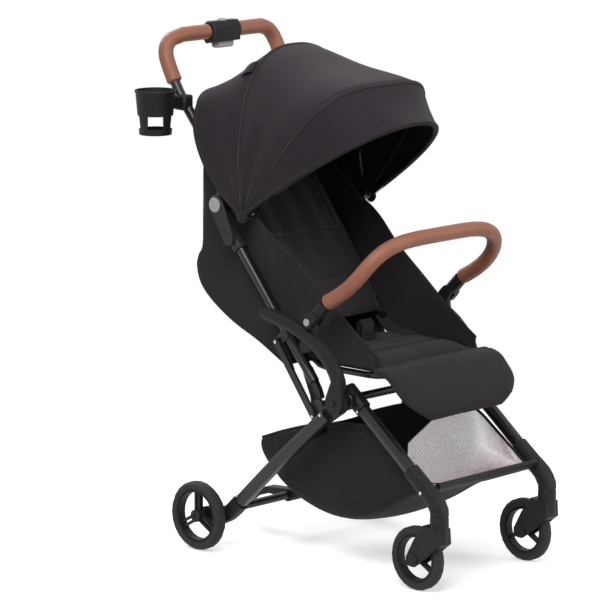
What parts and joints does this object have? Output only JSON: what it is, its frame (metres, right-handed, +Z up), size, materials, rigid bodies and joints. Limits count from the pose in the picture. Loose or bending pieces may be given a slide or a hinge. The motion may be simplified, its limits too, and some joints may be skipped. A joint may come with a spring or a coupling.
{
  "type": "compact stroller",
  "caption": "Compact folding stroller: one-piece push handle, hooped canopy, padded seat, bumper bar, leg rest, cloth basket, castors and a cup holder.",
  "frame": {"origin": "on the floor, under the middle of the bounding box", "axes": "+Z up, -Y the way the stroller travels and faces, +X the seated child's left"},
  "size_m": [0.534, 0.8134, 1.0895],
  "materials": {
    "black_cloth": "woven, matte",
    "black_paint": "satin black powder coat",
    "black_plastic": "fine matte",
    "grey_plastic": "fine matte",
    "mesh_cloth": "open mesh",
    "steel": "satin",
    "tan_leather": "smooth grained",
    "tyre_rubber": "matte"
  },
  "bodies": {
    "rear_frame": {"rear_leg_left": "black_paint", "rear_leg_right": "black_paint", "rear_bracket_left": "black_plastic", "rear_bracket_right": "black_plastic", "rear_cross_tube": "black_paint", "hub_cross_tube": "black_paint", "basket": "mesh_cloth"},
    "front_frame": {"front_leg_left": "black_paint", "front_leg_right": "black_paint", "front_elbow_left": "black_plastic", "front_elbow_right": "black_plastic", "footboard": "black_plastic"},
    "push_frame": {"push_tube_left": "black_paint", "push_tube_right": "black_paint", "hinge_housing_left": "black_plastic", "hinge_housing_right": "black_plastic", "side_wing_left": "black_cloth", "side_wing_right": "black_cloth", "rear_drape": "black_cloth"},
    "handle": {"handle_tube": "black_paint", "handle_grip_left": "tan_leather", "handle_grip_right": "tan_leather", "actuator_housing": "black_plastic", "cup_holder": "black_plastic", "canopy_bow_rear": "steel", "canopy_rear_panel": "black_cloth"},
    "safety_button": {"safety_button": "grey_plastic"},
    "fold_trigger": {"fold_trigger": "grey_plastic"},
    "canopy_front": {"canopy_bow_front": "steel", "canopy_front_panel": "black_cloth"},
    "canopy_mid": {"canopy_bow_mid": "steel", "canopy_mid_panel": "black_cloth"},
    "seat": {"seat_frame": "black_paint", "seat_pad": "black_cloth", "crotch_buckle": "black_plastic"},
    "backrest": {"backrest_frame": "black_paint", "backrest_pad": "black_cloth"},
    "leg_rest": {"leg_rest_pad": "black_cloth"},
    "brake_pedal": {"brake_pedal": "black_plastic"},
    "fold_latch": {"fold_latch": "black_plastic"},
    "bumper": {"bumper_tube": "black_paint", "bumper_grip": "tan_leather"},
    "armrest_left": {"armrest_left": "black_plastic"},
    "link_left": {"link_bar_left": "black_paint"},
    "bumper_socket_left": {"bumper_socket_left": "black_plastic"},
    "bumper_button_left": {"bumper_button_left": "grey_plastic"},
    "rear_wheel_left": {"rear_tyre_left": "tyre_rubber", "rear_rim_left": "black_plastic"},
    "castor_left": {"castor_fork_left": "black_plastic"},
    "front_wheel_left": {"front_tyre_left": "tyre_rubber", "front_rim_left": "black_plastic"},
    "armrest_right": {"armrest_right": "black_plastic"},
    "link_right": {"link_bar_right": "black_paint"},
    "bumper_socket_right": {"bumper_socket_right": "black_plastic"},
    "bumper_button_right": {"bumper_button_right": "grey_plastic"},
    "rear_wheel_right": {"rear_tyre_right": "tyre_rubber", "rear_rim_right": "black_plastic"},
    "castor_right": {"castor_fork_right": "black_plastic"},
    "front_wheel_right": {"front_tyre_right": "tyre_rubber", "front_rim_right": "black_plastic"}
  },
  "joints": [
    {"name": "front_leg_fold", "type": "hinge", "parent": "rear_frame", "child": "front_frame", "pos_m": [0.018, -0.14315, 0.363], "axis": [1, 0, 0], "range_deg": [0, 76], "deforming": ["basket", "side_wing_left", "side_wing_right", "rear_drape", "canopy_rear_panel", "canopy_mid_panel", "canopy_front_panel"]},
    {"name": "armrest_left_fold", "type": "hinge", "parent": "rear_frame", "child": "armrest_left", "pos_m": [0.223, -0.14315, 0.363], "axis": [1, 0, 0], "range_deg": [-61.3, 0]},
    {"name": "link_left_fold", "type": "hinge", "parent": "rear_frame", "child": "link_left", "pos_m": [0.1965, -0.05615, 0.318], "axis": [1, 0, 0], "range_deg": [-55.6, 0]},
    {"name": "bumper_socket_left_fold", "type": "hinge", "parent": "armrest_left", "child": "bumper_socket_left", "pos_m": [0.2245, -0.07315, 0.5215], "axis": [1, 0, 0], "range_deg": [0, 72.7]},
    {"name": "bumper_button_left_press", "type": "slide", "parent": "bumper_socket_left", "child": "bumper_button_left", "axis": [1, 0, 0], "range_m": [-0.003, 0], "stiffness_N_per_m": 300, "springref_m": 0.001},
    {"name": "rear_wheel_left_spin", "type": "hinge", "parent": "rear_frame", "child": "rear_wheel_left", "pos_m": [0.2535, 0.22485, 0.073], "axis": [1, 0, 0], "continuous": true},
    {"name": "castor_left_swivel", "type": "hinge", "parent": "front_frame", "child": "castor_left", "pos_m": [0.185, -0.38815, 0.162], "axis": [0, 0, 1], "continuous": true},
    {"name": "front_wheel_left_spin", "type": "hinge", "parent": "castor_left", "child": "front_wheel_left", "pos_m": [0.185, -0.33115, 0.066], "axis": [1, 0, 0], "continuous": true},
    {"name": "armrest_right_fold", "type": "hinge", "parent": "rear_frame", "child": "armrest_right", "pos_m": [-0.187, -0.14315, 0.363], "axis": [1, 0, 0], "range_deg": [-61.3, 0]},
    {"name": "link_right_fold", "type": "hinge", "parent": "rear_frame", "child": "link_right", "pos_m": [-0.1605, -0.05615, 0.318], "axis": [1, 0, 0], "range_deg": [-55.6, 0]},
    {"name": "bumper_socket_right_fold", "type": "hinge", "parent": "armrest_right", "child": "bumper_socket_right", "pos_m": [-0.1885, -0.07315, 0.5215], "axis": [1, 0, 0], "range_deg": [0, 72.7]},
    {"name": "bumper_button_right_press", "type": "slide", "parent": "bumper_socket_right", "child": "bumper_button_right", "axis": [-1, 0, 0], "range_m": [-0.003, 0], "stiffness_N_per_m": 300, "springref_m": 0.001},
    {"name": "rear_wheel_right_spin", "type": "hinge", "parent": "rear_frame", "child": "rear_wheel_right", "pos_m": [-0.2175, 0.22485, 0.073], "axis": [1, 0, 0], "continuous": true},
    {"name": "castor_right_swivel", "type": "hinge", "parent": "front_frame", "child": "castor_right", "pos_m": [-0.149, -0.38815, 0.162], "axis": [0, 0, 1], "continuous": true},
    {"name": "front_wheel_right_spin", "type": "hinge", "parent": "castor_right", "child": "front_wheel_right", "pos_m": [-0.149, -0.33115, 0.066], "axis": [1, 0, 0], "continuous": true},
    {"name": "push_frame_fold", "type": "hinge", "parent": "link_left", "child": "push_frame", "pos_m": [0.018, 0.04985, 0.46], "axis": [1, 0, 0], "range_deg": [0, 131.6]},
    {"name": "handle_fold", "type": "hinge", "parent": "push_frame", "child": "handle", "pos_m": [0.018, 0.21835, 0.7275], "axis": [1, 0, 0], "range_deg": [-156.3, 0]},
    {"name": "seat_fold", "type": "hinge", "parent": "push_frame", "child": "seat", "pos_m": [0.018, -0.00715, 0.43], "axis": [1, 0, 0], "range_deg": [-119.82, 0]},
    {"name": "bumper_release", "type": "slide", "parent": "bumper_socket_left", "child": "bumper", "axis": [0, 0.6947, -0.7193], "range_m": [-0.06, 0]},
    {"name": "canopy_front_fold", "type": "hinge", "parent": "handle", "child": "canopy_front", "pos_m": [0.018, 0.13435, 0.714], "axis": [1, 0, 0], "range_deg": [-52, 0]},
    {"name": "canopy_mid_fold", "type": "hinge", "parent": "handle", "child": "canopy_mid", "pos_m": [0.018, 0.13435, 0.714], "axis": [1, 0, 0], "range_deg": [-41.3, 0]},
    {"name": "backrest_recline", "type": "hinge", "parent": "push_frame", "child": "backrest", "pos_m": [0.018, 0.05525, 0.47], "axis": [1, 0, 0], "range_deg": [-32, 0]},
    {"name": "leg_rest_lift", "type": "hinge", "parent": "seat", "child": "leg_rest", "pos_m": [0.018, -0.20945, 0.4284], "axis": [1, 0, 0], "range_deg": [-35, 0]},
    {"name": "brake_pedal_lift", "type": "hinge", "parent": "rear_frame", "child": "brake_pedal", "pos_m": [0.018, 0.17285, 0.088], "axis": [1, 0, 0], "range_deg": [0, 15]},
    {"name": "fold_latch_swing", "type": "hinge", "parent": "rear_frame", "child": "fold_latch", "pos_m": [0.2105, 0.04035, 0.212], "axis": [1, 0, 0], "range_deg": [-25, 0], "stiffness_Nm_per_rad": 0.05, "springref_deg": 11.46},
    {"name": "safety_button_press", "type": "slide", "parent": "handle", "child": "safety_button", "axis": [0, 0, 1], "range_m": [-0.0035, 0], "stiffness_N_per_m": 300, "springref_m": 0.001},
    {"name": "fold_trigger_squeeze", "type": "slide", "parent": "handle", "child": "fold_trigger", "axis": [0, 0, -1], "range_m": [-0.0035, 0], "stiffness_N_per_m": 400, "springref_m": 0.001}
  ],
  "couplings": [
    {"joint": "armrest_left_fold", "follows": "front_leg_fold", "ratio": -0.8},
    {"joint": "link_left_fold", "follows": "front_leg_fold", "ratio": -0.725},
    {"joint": "bumper_socket_left_fold", "follows": "front_leg_fold", "ratio": 0.95},
    {"joint": "armrest_right_fold", "follows": "front_leg_fold", "ratio": -0.8},
    {"joint": "link_right_fold", "follows": "front_leg_fold", "ratio": -0.725},
    {"joint": "bumper_socket_right_fold", "follows": "front_leg_fold", "ratio": 0.95},
    {"joint": "push_frame_fold", "follows": "front_leg_fold", "ratio": 1.725},
    {"joint": "handle_fold", "follows": "front_leg_fold", "ratio": -2.05},
    {"joint": "seat_fold", "follows": "front_leg_fold", "ratio": -1.57},
    {"joint": "canopy_mid_fold", "follows": "canopy_front_fold", "ratio": 0.79}
  ]
}
